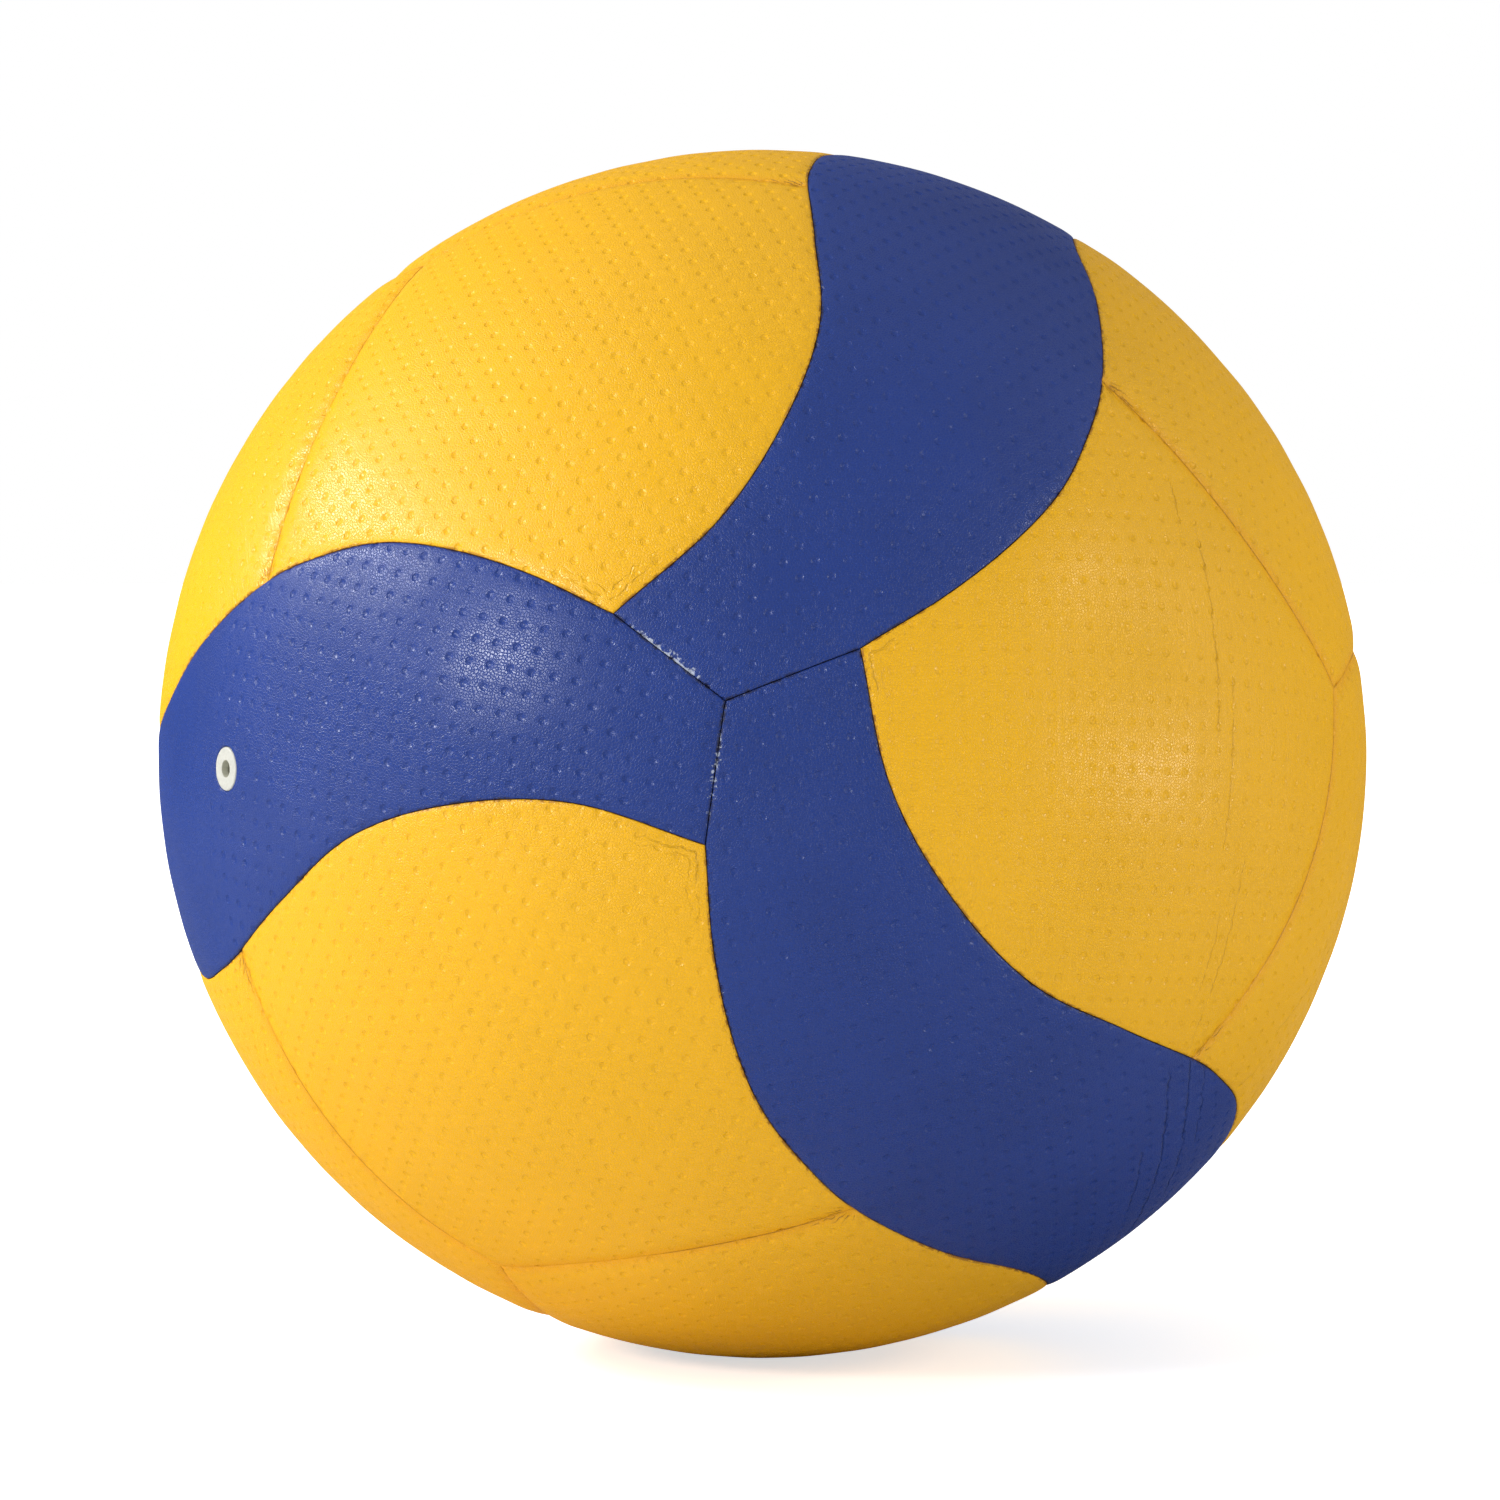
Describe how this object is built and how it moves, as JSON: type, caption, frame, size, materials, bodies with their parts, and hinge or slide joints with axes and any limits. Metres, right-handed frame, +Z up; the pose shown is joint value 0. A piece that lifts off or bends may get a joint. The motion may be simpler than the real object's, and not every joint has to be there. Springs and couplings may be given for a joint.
{
  "type": "volleyball",
  "caption": "Inflated indoor volleyball with interlocking curved blue and yellow dimpled panels glued over a wound bladder, and a flush needle valve.",
  "frame": {"origin": "centre of the ball", "axes": "-X points out of the valve, +Z is up and square to the small flat that the ball rests on, and +Y completes the right-handed frame"},
  "size_m": [0.2099, 0.21, 0.2095],
  "materials": {
    "blue_leather": "satin",
    "yellow_leather": "satin",
    "foam": "matte",
    "carcass": "matte",
    "thread": "matte",
    "bladder": "satin",
    "valve_rubber": "matte",
    "plug_rubber": "satin"
  },
  "bodies": {
    "root": {"blue_panel_1": "blue_leather", "blue_panel_2": "blue_leather", "blue_panel_3": "blue_leather", "blue_panel_4": "blue_leather", "blue_panel_5": "blue_leather", "blue_panel_6": "blue_leather", "yellow_panel_1": "yellow_leather", "yellow_panel_2": "yellow_leather", "yellow_panel_3": "yellow_leather", "yellow_panel_4": "yellow_leather", "yellow_panel_5": "yellow_leather", "yellow_panel_6": "yellow_leather", "yellow_panel_7": "yellow_leather", "yellow_panel_8": "yellow_leather", "yellow_panel_9": "yellow_leather", "yellow_panel_10": "yellow_leather", "yellow_panel_11": "yellow_leather", "yellow_panel_12": "yellow_leather", "blue_panel_foam_1": "foam", "blue_panel_foam_2": "foam", "blue_panel_foam_3": "foam", "blue_panel_foam_4": "foam", "blue_panel_foam_5": "foam", "blue_panel_foam_6": "foam", "yellow_panel_foam_1": "foam", "yellow_panel_foam_2": "foam", "yellow_panel_foam_3": "foam", "yellow_panel_foam_4": "foam", "yellow_panel_foam_5": "foam", "yellow_panel_foam_6": "foam", "yellow_panel_foam_7": "foam", "yellow_panel_foam_8": "foam", "yellow_panel_foam_9": "foam", "yellow_panel_foam_10": "foam", "yellow_panel_foam_11": "foam", "yellow_panel_foam_12": "foam", "carcass_rubber": "carcass", "thread_winding": "thread", "bladder": "bladder", "valve_housing": "valve_rubber", "valve_plug": "plug_rubber"}
  },
  "joints": []
}
